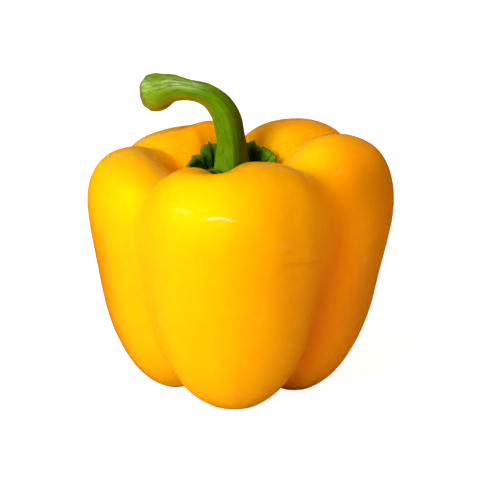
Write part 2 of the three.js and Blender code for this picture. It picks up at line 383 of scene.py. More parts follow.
def lumps(points, size, seed, stretch=(1.0, 1.0, 1.0)):
    """Smooth noise from about -1 to 1 whose lumps are size millimetres across."""
    scaled = points.reshape(-1, 3) / (size * np.array(stretch)) + seed * SEED_STEP
    values = [noise.noise(Vector(p), noise_basis="PERLIN_NEW") for p in scaled]
    return np.array(values).reshape(points.shape[:-1]) * NOISE_GAIN


# Meshes

def ring_mesh(name, grid, first, last):
    """A mesh of closed rings, one row of the grid each, with a point to close each end."""
    rows, columns = grid.shape[:2]
    points = [tuple(p * MM) for p in (*grid.reshape(-1, 3), first, last)]
    corner = np.arange(rows * columns).reshape(rows, columns)
    beside = np.roll(corner, -1, axis=1)
    quads = np.stack([corner[:-1], corner[1:], beside[1:], beside[:-1]], axis=-1).reshape(-1, 4)
    faces = [tuple(q) for q in quads.tolist()]
    first_tip, last_tip = rows * columns, rows * columns + 1
    faces += [(first_tip, int(a), int(b)) for a, b in zip(corner[0], beside[0])]
    faces += [(last_tip, int(b), int(a)) for a, b in zip(corner[-1], beside[-1])]
    mesh = bpy.data.meshes.new(name)
    mesh.from_pydata(points, [], faces)
    mesh.polygons.foreach_set("use_smooth", [True] * len(mesh.polygons))
    mesh.validate()
    mesh.update()
    return mesh


def paint(mesh, name, values, ends):
    """Stores a value at every point, for the material to read, with those of the closing points."""
    layer = mesh.attributes.new(name, "FLOAT", "POINT")
    layer.data.foreach_set("value", np.append(values.ravel(), ends).astype(np.float32))


def add_piece(mesh, node, material):
    """Puts a piece in the scene in place of a solid, and gives it its finish."""
    piece = bpy.data.objects.new(mesh.name, mesh)
    bpy.context.scene.collection.objects.link(piece)
    mesh.materials.append(material)
    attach(piece, BODY)
    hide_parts(node)


def fruit_mesh(settings):
    """The skin of the fruit, with its dents, fine lumps, crown puckers and blossom scar."""
    columns, rows = settings.columns, settings.rows
    angles = np.arange(columns) / columns * 2 * np.pi
    shares = np.arange(1, rows) / rows
    share, angle = np.meshgrid(shares, angles, indexing="ij")
    bearing = np.degrees(angle)
    points, raised = skin(angle, share)
    normals = skin_normals(angle, share)

    relief = settings.lump_height * lumps(points, LUMP_SIZE, 1)
    for ripple in RIPPLES:
        stretch = (1.0, 1.0, ripple["upright"])
        height = ripple["share"] * settings.ripple_height
        relief += height * lumps(points, ripple["size"], ripple["seed"], stretch)
    relief -= patches(bearing, share, DENTS, "depth")
    wander = PUCKERS["wander"] * lumps(points, PUCKERS["wander_size"], 3)
    pucker = PUCKERS["height"] * np.exp(-((share - PUCKERS["share"]) / PUCKERS["tall"]) ** 2)
    relief += pucker * np.cos(PUCKERS["count"] * angle + wander)
    relief += SCAR["height"] * np.exp(-((1 - share) / SCAR["tall"]) ** 2)
    lip = SCAR_LIP["height"] * np.exp(-((1 - share - SCAR_LIP["share"]) / SCAR_LIP["tall"]) ** 2)
    relief += lip * (1 + 0.4 * np.cos(SCAR_LIP["waves"] * angle))
    relief *= smooth(share, 0.0, 0.05)
    points = points + normals * relief[..., None]

    # Nothing reaches below the floor, and the feet bend into it softly
    height = points[..., 2]
    near = np.maximum(FOOT_SOFTNESS - np.abs(height), 0.0)
    points[..., 2] = np.maximum(height, 0.0) + near ** 2 / (4 * FOOT_SOFTNESS)

    crown_point = np.array([*STEM_AXIS, CROWN_HEIGHT])
    blossom_point = np.array([*STEM_AXIS, BLOSSOM_HEIGHT - SCAR["height"]])
    mesh = ring_mesh("pepper_fruit", points, first=crown_point, last=blossom_point)
    shaded_side = 0.5 + 0.5 * np.cos(np.radians(aside(bearing, SHADED_SIDE["bearing"])))
    # Painted shade: deeper orange in the grooves, stronger on the shaded side and lower down
    groove_shade = (0.35 + 0.65 * shaded_side) * (0.6 + 0.4 * smooth(share, 0.42, 0.62))
    paint(mesh, "groove", (1 - np.clip(raised, 0, 1)) * groove_shade, (0.5, 0.5))
    paint(mesh, "share", share, (0.0, 1.0))
    # Painted shade: deeper orange on the side away from the key lamp, on the far side of the crown and on
    # the left flank
    crown = 1 - smooth(share, 0.26, 0.4)
    far_side = 0.5 + 0.5 * np.cos(np.radians(aside(bearing, SHADED_CROWN_BEARING)))
    flank = np.exp(-(aside(bearing, SHADED_FLANK["bearing"]) / SHADED_FLANK["wide"]) ** 2)
    flank *= SHADED_FLANK["amount"] * smooth(share, 0.42, 0.56)
    blush = np.maximum(SHADED_SIDE["amount"] * shaded_side * (1 - crown) + far_side * crown, flank)
    paint(mesh, "blush", blush, (0.5, 0.5))
    # Paler patches of painted light, and darker orange patches of painted shade
    paint(mesh, "lemon", patches(bearing, share, LIT_PATCHES, "amount"), (0.0, 0.0))
    paint(mesh, "ripe", patches(bearing, share, SHADE_PATCHES, "amount"), (0.0, 0.0))
    paint(mesh, "rubbed", patches(bearing, share, RUBBED, "amount"), (0.0, 0.0))
    paint(mesh, "dots", patches(bearing, share, DOTS, "amount"), (0.0, 0.0))
    return mesh


def tooth_shape(bearing, key, power, web=0.0):
    """A value that is each tooth's own at its tip, and a share of that half way to the next."""
    out = np.zeros_like(bearing)
    for tooth, after in zip(TEETH, TEETH[1:] + TEETH[:1]):
        width = (after["bearing"] - tooth["bearing"]) % 360
        across = ((bearing - tooth["bearing"]) % 360) / width
        value = smooth(np.abs(2 * across - 1), 0.0, 1.0) ** power
        value = (web + (1 - web) * value) * (tooth[key] * (1 - across) + after[key] * across)
        out = np.where(across < 1, value, out)
    return out


def calyx_mesh(settings):
    """A fleshy star that lines the crown: a collar round the stem, ribs, folds and curled teeth."""
    columns = settings.columns
    angles = np.arange(columns) / columns * 2 * np.pi
    rows_up, rows_down = 56, 16
    out_up = np.arange(1, rows_up + 1) / rows_up
    out_down = 1 - np.arange(1, rows_down) / rows_down
    outward = np.concatenate([out_up, out_down])
    upper = np.concatenate([np.ones(rows_up), np.zeros(rows_down - 1)])
    out, angle = np.meshgrid(outward, angles, indexing="ij")
    top = np.tile(upper[:, None], (1, columns))
    bearing = np.degrees(angle)

    ragged = CALYX_RAGGED["coarse"] * np.sin(29 * angle + 1.5 * np.sin(5 * angle))
    ragged += CALYX_RAGGED["fine"] * np.sin(47 * angle + 2)
    edge = CALYX_EDGE + CALYX_TOOTH * tooth_shape(bearing, "reach", 0.5, CALYX_WEB)
    share = out * (edge + ragged * smooth(out, 0.6, 1))
    points, _ = skin(angle, share)
    normals = skin_normals(angle, share)

    rib = tooth_shape(bearing, "reach", 4.0)
    fold = np.cos(4 * np.pi * tooth_shape(bearing, "reach", 1.0))
    curl = tooth_shape(bearing, "lift", 0.6, CALYX_WEB)
    fine = lumps(points, 2.2, 5)
    broad = lumps(points, 6.0, 6)
    lift = CALYX_GAP + curl * smooth(out, CALYX_CURL_START, 1.0) ** 1.3
    lift += CALYX_WAVE_HEIGHT * smooth(out, 0.7, 1.0) * (1 + np.sin(12 * angle + 2 * broad))
    rounding = np.clip((out - CALYX_ROUNDED_FROM) / (1 - CALYX_ROUNDED_FROM), 0, 1)
    thickness = CALYX_THICKNESS * np.sqrt(np.maximum(1 - rounding ** 2, 0.06))
    collar = np.exp(-((out - CALYX_COLLAR["outward"]) / CALYX_COLLAR["wide"]) ** 2)
    body = thickness + CALYX_COLLAR["height"] * collar
    body += CALYX_RIB_HEIGHT * rib * smooth(out, 0.35, 0.6) * (1 - smooth(out, 0.9, 1.0))
    body += CALYX_FOLD_HEIGHT * fold * smooth(out, 0.45, 0.7)
    body += CALYX_FINE_HEIGHT * fine * smooth(out, 0.3, 0.5)
    lift += top * body
    points = points + normals * lift[..., None]

    middle = np.array([*STEM_AXIS, CROWN_HEIGHT])
    up = np.array([0.0, 0.0, 1.0])
    mesh = ring_mesh(
        "pepper_calyx",
        points,
        first=middle + up * (CALYX_GAP + CALYX_THICKNESS),
        last=middle + up * CALYX_GAP,
    )
    paint(mesh, "rib", rib * smooth(out, 0.3, 0.6), (0.0, 0.0))
    paint(mesh, "outward", out, (0.0, 0.0))
    return mesh


def faceted(bearing, corners):
    """How far out the sides of a polygon lie, as a share of its corners."""
    out = np.ones_like(bearing)
    for corner, after in zip(corners, corners[1:] + corners[:1]):
        half = ((after - corner) % 360) / 2
        off = aside(bearing, corner + half)
        out = np.where(np.abs(off) <= half, math.cos(math.radians(half)) / np.cos(np.radians(off)), out)
    return out


def stem_curve(along):
    """Centre line and radius at places from 0 to 1: a curve through all the points."""
    count = len(STEM_LINE) - 1
    step = np.clip(along, 0, 1) * count
    i = np.minimum(step.astype(int), count - 1)
    u = (step - i)[..., None]
    before, after = STEM_LINE[i], STEM_LINE[i + 1]
    first = np.where((i > 0)[..., None], STEM_LINE[np.maximum(i - 1, 0)], 2 * before - after)
    last = np.where((i < count - 1)[..., None], STEM_LINE[np.minimum(i + 2, count)], 2 * after - before)
    curve = 2 * before + (after - first) * u
    curve += (2 * first - 5 * before + 4 * after - last) * u ** 2
    curve += (3 * before - first - 3 * after + last) * u ** 3
    return curve / 2


def stem_mesh(settings):
    """The ribbed stalk from its cut end back to its foot, with a callus lip round the cut."""
    columns, rows = settings.columns, settings.rows
    angles = np.arange(columns) / columns * 2 * np.pi
    # Rows: across the cut face from its middle, along the stalk, and across the foot
    face = np.arange(1, 14) / 14
    side = 1 - (np.arange(rows + 1) / rows)
    foot = 1 - np.arange(1, 5) / 5
    along = np.concatenate([np.ones(len(face)), side, np.zeros(len(foot))])
    spread = np.concatenate([face, np.ones(len(side)), foot])
    on_face = np.concatenate([np.ones(len(face)), np.zeros(len(side) + len(foot))])

    curve = stem_curve(along)
    tangent = stem_curve(along + 1e-3)[:, :3] - stem_curve(along - 1e-3)[:, :3]
    tangent /= np.linalg.norm(tangent, axis=1, keepdims=True)
    across = np.cross([0.0, 1.0, 0.0], tangent)
    across /= np.linalg.norm(across, axis=1, keepdims=True)
    upright = np.cross(tangent, across)

    place, angle = np.meshgrid(along, angles, indexing="ij")
    bearing = np.degrees(angle)
    turned = bearing + np.interp(place, STEM_TURN_PLACES, STEM_TURN)
    flat = faceted(turned, STEM_CORNERS)
    flatness = STEM_FLATNESS * (1 - 0.75 * smooth(place, 0.74, 0.95))
    section = (1 - flatness * (1 - flat)) * (1 + 0.1 * flatness)
    # The lip of the cut end turns in over the last millimetre or two
    lip = np.sqrt(np.clip(1 - smooth(place, 0.965, 1.0) ** 2 * 0.25, 0, 1))
    radius = curve[:, 3:4] * section * lip * spread[:, None]
    outward = np.cos(angle)[..., None] * across[:, None, :] + np.sin(angle)[..., None] * upright[:, None, :]
    points = curve[:, None, :3] + radius[..., None] * outward + np.array([*STEM_AXIS, 0.0])

    stalk = (1 - on_face)[:, None] * (spread == 1)[:, None]
    fibre = lumps(np.stack([np.cos(angle) * 6, np.sin(angle) * 6, place * 5], axis=-1), 1.3, 7)
    knots = lumps(points, 5.0, 8)
    relief = settings.fibre_height * fibre + STEM_KNOT_HEIGHT * knots
    points = points + outward * (relief * stalk)[..., None]
    # The cut face: a raised callus ring, a hollow inside it, and the pith in the middle
    callus = np.exp(-((spread - STEM_CUT_LIP["spread"]) / STEM_CUT_LIP["wide"]) ** 2)
    hollow = np.exp(-((spread - STEM_CUT_HOLLOW["spread"]) / STEM_CUT_HOLLOW["wide"]) ** 2)
    rise = STEM_CUT_RISE + STEM_CUT_LIP["height"] * callus - STEM_CUT_HOLLOW["depth"] * hollow
    rise *= on_face * smooth(1 - spread, 0.0, 0.12)
    grain = STEM_CUT_GRAIN * lumps(points, 1.1, 9) * on_face[:, None]
    points = points + tangent[:, None, :] * (rise[:, None] + grain)[..., None]

    tip = STEM_LINE[-1, :3] + np.array([*STEM_AXIS, 0.0]) + tangent[0] * 0.3
    base = STEM_LINE[0, :3] + np.array([*STEM_AXIS, 0.0])
    mesh = ring_mesh("pepper_stem", points, first=tip, last=base)
    paint(mesh, "along", place, (1.0, 0.0))
    paint(mesh, "cut", np.where(on_face > 0, spread, 0.0)[:, None] * np.ones((1, columns)), (0.05, 0.0))
    paint(mesh, "face", on_face[:, None] * np.ones((1, columns)), (1.0, 0.0))
    # Painted shade on the side away from the key lamp: it starts at the front corner, and a little further
    # round on the upper half
    past_corner = aside(turned, STEM_CORNERS[0]) - 20 * smooth(place, 0.3, 0.5)
    lee = smooth(past_corner, -14.0, 40.0) * (1 - smooth(past_corner, 110.0, 170.0))
    paint(mesh, "lee", lee, (0.0, 0.0))
    # How far each point faces down, for the painted bounce light
    paint(mesh, "under", np.clip(-outward[..., 2], 0, 1), (0.0, 0.0))
    # Painted sheen: pale streaks where the stalk faces up and forward, near its swollen end
    crest = np.clip(outward @ STEM_SHEEN_WAY, 0, 1) ** 14 * smooth(place, 0.6, 0.84)
    paint(mesh, "crest", crest, (0.0, 0.0))
    stalk_way = np.stack([np.cos(angle), np.sin(angle), 2.0 * place], axis=-1).reshape(-1, 3)
    layer = mesh.attributes.new("stalk", "FLOAT_VECTOR", "POINT")
    layer.data.foreach_set("vector", np.vstack([stalk_way, np.zeros((2, 3))]).ravel().astype(np.float32))
    return mesh


# Node groups that the materials share

def new_group(name, inputs, outputs):
    """A shader group with named sockets. Inputs are name, type and default."""
    group = bpy.data.node_groups.new(name, "ShaderNodeTree")
    for label, kind, default in inputs:
        group.interface.new_socket(label, in_out="INPUT", socket_type=kind).default_value = default
    for label, kind in outputs:
        group.interface.new_socket(label, in_out="OUTPUT", socket_type=kind)
    return group


def add(tree, kind, inputs=None, **settings):
    """A node with its settings, and its inputs set to values or linked to outputs."""
    node = tree.nodes.new(kind)
    for key, value in settings.items():
        setattr(node, key, value)
    for key, value in (inputs or {}).items():
        if isinstance(value, bpy.types.NodeSocket):
            tree.links.new(value, node.inputs[key])
        else:
            node.inputs[key].default_value = value
    return node


def attribute(tree, name):
    """The value painted on the mesh under a name."""
    return add(tree, "ShaderNodeAttribute", attribute_name=name).outputs["Fac"]


def ranged(tree, value, low, high, to_low=0.0, to_high=1.0, smoothly=True):
    """A value read from one range into another."""
    node = add(
        tree,
        "ShaderNodeMapRange",
        {"Value": value, "From Min": low, "From Max": high, "To Min": to_low, "To Max": to_high},
        interpolation_type="SMOOTHSTEP" if smoothly else "LINEAR",
    )
    return node.outputs["Result"]


def maths(tree, operation, a, b=0.0, clamp=False):
    """One step of arithmetic, kept from 0 to 1 if asked."""
    node = add(tree, "ShaderNodeMath", {0: a, 1: b}, operation=operation, use_clamp=clamp)
    return node.outputs["Value"]


def blend_colour(tree, factor, a, b):
    """Two colours mixed by a factor."""
    node = add(tree, "ShaderNodeMix", data_type="RGBA")
    for key, value in (("Factor", factor), ("A", a), ("B", b)):
        socket = next(s for s in node.inputs if s.name == key and s.enabled)
        if isinstance(value, bpy.types.NodeSocket):
            tree.links.new(value, socket)
        else:
            socket.default_value = value
    return next(s for s in node.outputs if s.enabled)


def mottle_group():
    """Soft patches of tone, with finer ones inside them, pulled out along the plant."""
    group = new_group(
        "Mottle",
        [
            ("Patch Scale", "NodeSocketFloat", 60.0),
            ("Fine Scale", "NodeSocketFloat", 300.0),
            ("Fine Share", "NodeSocketFloat", 0.35),
            ("Stretch", "NodeSocketVector", (1.0, 1.0, 0.4)),
        ],
        [("Tone", "NodeSocketFloat"), ("Fine", "NodeSocketFloat")],
    )
    source = group.nodes.new("NodeGroupInput").outputs
    where = add(group, "ShaderNodeTexCoord").outputs["Object"]
    pulled = add(group, "ShaderNodeVectorMath", {0: where, 1: source["Stretch"]}, operation="MULTIPLY")
    pulled = pulled.outputs["Vector"]
    broad = add(
        group,
        "ShaderNodeTexNoise",
        {"Vector": pulled, "Scale": source["Patch Scale"], "Detail": 4.0, "Roughness": 0.55},
    ).outputs["Fac"]
    fine = add(
        group,
        "ShaderNodeTexNoise",
        {"Vector": pulled, "Scale": source["Fine Scale"], "Detail": 3.0, "Roughness": 0.6},
    ).outputs["Fac"]
    broad = ranged(group, broad, 0.3, 0.7)
    fine = ranged(group, fine, 0.3, 0.7)
    tone = add(
        group,
        "ShaderNodeMix",
        {"Factor": source["Fine Share"], "A": broad, "B": fine},
        data_type="FLOAT",
    ).outputs["Result"]
    out = group.nodes.new("NodeGroupOutput").inputs
    group.links.new(tone, out["Tone"])
    group.links.new(fine, out["Fine"])
    return group


def specks_group():
    """Scattered small round dots, each with a soft edge, on some of the places for one."""
    group = new_group(
        "Specks",
        [
            ("Scale", "NodeSocketFloat", 260.0),
            ("Size", "NodeSocketFloat", 0.12),
            ("Share", "NodeSocketFloat", 0.5),
        ],
        [("Mask", "NodeSocketFloat")],
    )
    source = group.nodes.new("NodeGroupInput").outputs
    where = add(group, "ShaderNodeTexCoord").outputs["Object"]
    cells = add(group, "ShaderNodeTexVoronoi", {"Vector": where, "Scale": source["Scale"]}).outputs
    chosen = add(group, "ShaderNodeSeparateColor", {"Color": cells["Color"]}).outputs["Red"]
    chosen = maths(group, "LESS_THAN", chosen, source["Share"])
    inner = maths(group, "MULTIPLY", source["Size"], 0.4)
    dot = ranged(group, cells["Distance"], inner, source["Size"], 1.0, 0.0)
    out = group.nodes.new("NodeGroupOutput").inputs
    group.links.new(maths(group, "MULTIPLY", dot, chosen), out["Mask"])
    return group


def grain_group():
    """Height of a plant's surface: pores or cells, and fibres along the growth."""
    group = new_group(
        "Grain",
        [
            ("Pore Scale", "NodeSocketFloat", 900.0),
            ("Fibre Scale", "NodeSocketFloat", 500.0),
            ("Fibre Share", "NodeSocketFloat", 0.3),
            ("Stretch", "NodeSocketVector", (1.0, 1.0, 0.12)),
        ],
        [("Height", "NodeSocketFloat")],
    )
    source = group.nodes.new("NodeGroupInput").outputs
    where = add(group, "ShaderNodeTexCoord").outputs["Object"]
    pores = add(
        group,
        "ShaderNodeTexNoise",
        {"Vector": where, "Scale": source["Pore Scale"], "Detail": 2.0, "Roughness": 0.5},
    ).outputs["Fac"]
    pulled = add(group, "ShaderNodeVectorMath", {0: where, 1: source["Stretch"]}, operation="MULTIPLY")
    pulled = pulled.outputs["Vector"]
    fibres = add(
        group,
        "ShaderNodeTexNoise",
        {"Vector": pulled, "Scale": source["Fibre Scale"], "Detail": 3.0, "Roughness": 0.6},
    ).outputs["Fac"]
    height = add(
        group,
        "ShaderNodeMix",
        {"Factor": source["Fibre Share"], "A": pores, "B": fibres},
        data_type="FLOAT",
    ).outputs["Result"]
    out = group.nodes.new("NodeGroupOutput").inputs
    group.links.new(height, out["Height"])
    return group


def shared(maker, name):
    """A node group by its name, made the first time that it is asked for."""
    return bpy.data.node_groups.get(name) or maker()


def use_group(tree, maker, name, **values):
    """Places a shared group in a material with its own values."""
    node = add(tree, "ShaderNodeGroup", node_tree=shared(maker, name))
    for key, value in values.items():
        node.inputs[key.replace("_", " ").title()].default_value = value
    return node.outputs


def new_material(name):
    """A material with an empty Principled surface, and its node tree."""
    material = bpy.data.materials.new(name)
    material.use_nodes = True
    tree = material.node_tree
    tree.nodes.clear()
    surface = add(tree, "ShaderNodeBsdfPrincipled")
    output = add(tree, "ShaderNodeOutputMaterial")
    tree.links.new(surface.outputs["BSDF"], output.inputs["Surface"])
    return material, tree, surface


def bump(tree, surface, height, distance, strength):
    """Feeds a height through a Bump node to a surface's normal."""
    node = add(tree, "ShaderNodeBump", {"Height": height, "Distance": distance, "Strength": strength})
    tree.links.new(node.outputs["Normal"], surface.inputs["Normal"])


def rgba(colour):
    """A colour property with full alpha."""
    return (*colour, 1.0)


def skin_material(settings):
    """Waxy yellow skin: painted shade makes it deeper orange in the grooves, on the side away from the key
    lamp and in patches, and painted light makes it paler in patches; it is mottled and lightly marked.
    """
    material, tree, surface = new_material("Pepper skin")
    mottle = use_group(
        tree, mottle_group, "Mottle", patch_scale=55.0, fine_scale=420.0, fine_share=0.25,
        stretch=(1.0, 1.0, 0.35),
    )
    # Painted shade: deeper orange on the side away from the key lamp, on the far side of the crown, on the
    # left flank and in the grooves, with random mottle on top
    blush = ranged(tree, attribute(tree, "blush"), 0.2, 0.95)
    groove = ranged(tree, attribute(tree, "groove"), 0.35, 1.0)
    shade_and_mottle = maths(tree, "MULTIPLY", blush, 0.62)
    shade_and_mottle = maths(tree, "ADD", shade_and_mottle, maths(tree, "MULTIPLY", groove, 0.5))
    uneven = ranged(tree, mottle["Tone"], 0.0, 1.0, -0.16, 0.16, smoothly=False)
    shade_and_mottle = maths(tree, "ADD", shade_and_mottle, uneven, clamp=True)
    colour = blend_colour(tree, shade_and_mottle, rgba(settings.yellow), rgba(settings.orange))

    # Painted light: paler yellow patches
    colour = blend_colour(tree, attribute(tree, "lemon"), colour, PAINTED_LIGHT_YELLOW)
    # Painted shade: darker orange patches
    colour = blend_colour(tree, attribute(tree, "ripe"), colour, PAINTED_SHADE_ORANGE)
    pale = use_group(tree, specks_group, "Specks", scale=210.0, size=0.1, share=0.25)["Mask"]
    colour = blend_colour(tree, maths(tree, "MULTIPLY", pale, 0.12), colour, SPECK_YELLOW)
    dots = maths(tree, "MULTIPLY", attribute(tree, "dots"), 0.5)
    colour = blend_colour(tree, dots, colour, DOT_YELLOW)

    # Faint rubbed lines that run round the fruit, in a few places only
    where = add(tree, "ShaderNodeTexCoord").outputs["Object"]
    flat = add(tree, "ShaderNodeVectorMath", {0: where, 1: (0.16, 0.16, 1.0)}, operation="MULTIPLY")
    lines = add(
        tree, "ShaderNodeTexNoise", {"Vector": flat.outputs["Vector"], "Scale": 560.0, "Detail": 1.0}
    ).outputs["Fac"]
    lines = ranged(tree, lines, 0.5, 0.64)
    rubbed = maths(tree, "MULTIPLY", lines, attribute(tree, "rubbed"))
    colour = blend_colour(tree, maths(tree, "MULTIPLY", rubbed, 0.38), colour, RUBBED_ORANGE)

    scar = ranged(tree, attribute(tree, "share"), 0.975, 0.99)
    colour = blend_colour(tree, maths(tree, "MULTIPLY", scar, 0.85), colour, SCAR_BROWN)
    tree.links.new(colour, surface.inputs["Base Color"])

    rough = ranged(tree, mottle["Tone"], 0.0, 1.0, settings.roughness - 0.04, settings.roughness + 0.06)
    rough = maths(tree, "ADD", rough, maths(tree, "MULTIPLY", rubbed, 0.2))
    tree.links.new(rough, surface.inputs["Roughness"])
    surface.inputs["IOR"].default_value = 1.45
    surface.inputs["Specular IOR Level"].default_value = 0.3
    wax = add(tree, "ShaderNodeTexNoise", {"Vector": where, "Scale": 330.0, "Detail": 3.0}).outputs["Fac"]
    tree.links.new(ranged(tree, wax, 0.47, 0.55, 0.05, 0.4), surface.inputs["Coat Weight"])
    surface.inputs["Coat Roughness"].default_value = 0.06
    surface.inputs["Specular Tint"].default_value = (1.0, 0.78, 0.0, 1.0)
    surface.inputs["Subsurface Weight"].default_value = settings.translucence
    surface.inputs["Subsurface Radius"].default_value = (1.0, 0.42, 0.06)
    surface.inputs["Subsurface Scale"].default_value = 4 * MM

    grain = use_group(tree, grain_group, "Grain", pore_scale=650.0, fibre_scale=260.0, fibre_share=0.45)
    bump(tree, surface, grain["Height"], 0.16 * MM, 0.6)
    return material


def calyx_material(settings):
    """Dark leathery green with paler ribs and edges."""
    material, tree, surface = new_material("Pepper calyx")
    mottle = use_group(
        tree, mottle_group, "Mottle", patch_scale=240.0, fine_scale=900.0, fine_share=0.4,
        stretch=(1.0, 1.0, 1.0),
    )
    rib = ranged(tree, attribute(tree, "rib"), 0.25, 0.9)
    edge = ranged(tree, attribute(tree, "outward"), 0.9, 1.0)
    light = maths(tree, "ADD", maths(tree, "MULTIPLY", rib, 0.55), maths(tree, "MULTIPLY", edge, 0.45))
    uneven = ranged(tree, mottle["Tone"], 0.0, 1.0, -0.35, 0.4, smoothly=False)
    light = maths(tree, "ADD", light, uneven, clamp=True)
    colour = blend_colour(tree, light, rgba(settings.dark), rgba(settings.light))
    tree.links.new(colour, surface.inputs["Base Color"])
    tree.links.new(ranged(tree, mottle["Fine"], 0.0, 1.0, 0.42, 0.62), surface.inputs["Roughness"])
    surface.inputs["Specular IOR Level"].default_value = 0.35
    surface.inputs["Specular Tint"].default_value = (0.7, 1.0, 0.3, 1.0)
    surface.inputs["Subsurface Weight"].default_value = 0.1
    surface.inputs["Subsurface Radius"].default_value = (0.4, 1.0, 0.1)
    surface.inputs["Subsurface Scale"].default_value = 1 * MM
    grain = use_group(
        tree, grain_group, "Grain", pore_scale=1600.0, fibre_scale=900.0, fibre_share=0.4,
        stretch=(1.0, 1.0, 0.5),
    )
    bump(tree, surface, grain["Height"], 0.3 * MM, 0.8)
    return material


def stem_material(settings):
    """Satin green stalk: fibrous, with painted shade on one side, a painted sheen on its upper bend and
    painted bounce light underneath, pale at its swollen end, brown at the cut.
    """
    material, tree, surface = new_material("Pepper stem")
    mottle = use_group(
        tree, mottle_group, "Mottle", patch_scale=170.0, fine_scale=800.0, fine_share=0.4,
        stretch=(0.5, 0.8, 0.4),
    )
    along = attribute(tree, "along")
    pale = maths(tree, "MULTIPLY", ranged(tree, along, 0.62, 0.97), 0.75)
    colour = blend_colour(tree, pale, rgba(settings.green), rgba(settings.pale))
    stalk = add(tree, "ShaderNodeAttribute", attribute_name="stalk").outputs["Vector"]
    streaks = add(
        tree, "ShaderNodeTexNoise", {"Vector": stalk, "Scale": 7.0, "Detail": 4.0, "Roughness": 0.7}
    ).outputs["Fac"]
    shade = maths(tree, "MULTIPLY", ranged(tree, streaks, 0.45, 0.72), 0.5)
    uneven = maths(tree, "MULTIPLY", ranged(tree, mottle["Tone"], 0.1, 0.9), 0.2)
    shade = maths(tree, "ADD", shade, uneven)
    # Painted shade on the side away from the key lamp, weaker towards the swollen end
    lee = maths(tree, "MULTIPLY", attribute(tree, "lee"), ranged(tree, along, 0.38, 0.66, 0.75, 0.12))
    shade = maths(tree, "ADD", shade, lee, clamp=True)
    colour = blend_colour(tree, shade, colour, rgba(settings.dark))
    # Painted sheen: pale green streaks along the top of the stalk
    sheen = ranged(tree, streaks, 0.56, 0.44, 0.15, 1.0)
    sheen = maths(tree, "MULTIPLY", sheen, attribute(tree, "crest"))
    colour = blend_colour(tree, sheen, colour, PAINTED_SHEEN_GREEN)
    # Painted bounce light: orange-brown underneath, as the fruit's colour reflected up
    painted_bounce = ranged(tree, attribute(tree, "under"), 0.1, 0.9, 0.0, 0.85)
    colour = blend_colour(tree, painted_bounce, colour, PAINTED_BOUNCE_BROWN)
    foot = ranged(tree, along, 0.02, 0.22, 0.45, 0.0)
    colour = blend_colour(tree, foot, colour, rgba(settings.dark))

    specks = use_group(tree, specks_group, "Specks", scale=900.0, size=0.2, share=0.3)["Mask"]
    colour = blend_colour(tree, maths(tree, "MULTIPLY", specks, 0.12), colour, SPECK_GREEN)

    # The cut: a brown rim, dry pale tissue inside it and a greener ring under the skin
    rim = ranged(tree, along, 0.984, 0.997)
    colour = blend_colour(tree, maths(tree, "MULTIPLY", rim, 0.8), colour, rgba(settings.rim))
    cut = attribute(tree, "cut")
    dry = blend_colour(tree, ranged(tree, cut, 0.45, 0.75), rgba(settings.pith), CUT_GREEN)
    dry = blend_colour(tree, ranged(tree, cut, 0.8, 0.95), dry, rgba(settings.rim))
    dry = blend_colour(tree, ranged(tree, mottle["Fine"], 0.3, 1.0, 0.0, 0.5), dry, CUT_BROWN)
    colour = blend_colour(tree, attribute(tree, "face"), colour, dry)
    tree.links.new(colour, surface.inputs["Base Color"])

    rough = ranged(tree, mottle["Fine"], 0.0, 1.0, 0.3, 0.48)
    rough = maths(tree, "ADD", rough, maths(tree, "MULTIPLY", attribute(tree, "face"), 0.35))
    tree.links.new(rough, surface.inputs["Roughness"])
    surface.inputs["Specular IOR Level"].default_value = 0.25
    surface.inputs["Specular Tint"].default_value = (0.8, 1.0, 0.15, 1.0)
    surface.inputs["Subsurface Weight"].default_value = 0.05
    surface.inputs["Subsurface Radius"].default_value = (0.5, 1.0, 0.1)
    surface.inputs["Subsurface Scale"].default_value = 1 * MM
    surface.inputs["Coat Weight"].default_value = 0.04
    surface.inputs["Coat Roughness"].default_value = 0.2
    grain = use_group(
        tree, grain_group, "Grain", pore_scale=1500.0, fibre_scale=1100.0, fibre_share=0.5,
        stretch=(1.0, 1.0, 0.12),
    )
    bump(tree, surface, grain["Height"], 0.22 * MM, 0.7)
    return material


# The stage

def aim(thing, target):
    """Turns a camera or a lamp to look at a point."""
    thing.rotation_euler = (Vector(target) - thing.location).to_track_quat("-Z", "Y").to_euler()


def around(target, azimuth, elevation, distance):
    """A point round a target. Azimuth 0 is in front, and 90 is to the right."""
    a, e = math.radians(azimuth), math.radians(elevation)
    offset = Vector((math.sin(a) * math.cos(e), -math.cos(a) * math.cos(e), math.sin(e)))
    return Vector(target) + offset * distance


def softbox(target, name, azimuth, elevation, distance, size, watts, colour):
    """A square soft lamp that faces the pepper."""
    lamp = bpy.data.lights.new(name, "AREA")
    lamp.shape = "SQUARE"
    lamp.size = size
    lamp.energy = watts
    lamp.color = colour
    thing = bpy.data.objects.new(name, lamp)
    bpy.context.scene.collection.objects.link(thing)
    thing.location = around(target, azimuth, elevation, distance)
    aim(thing, target)
    return thing


def gleam(target, height, **lamp):
    """A slim white lamp that shows only in the gloss."""
    thing = softbox(target, colour=WHITE[:3], **lamp)
    thing.data.shape = "RECTANGLE"
    thing.data.size_y = height
    thing.visible_diffuse = False


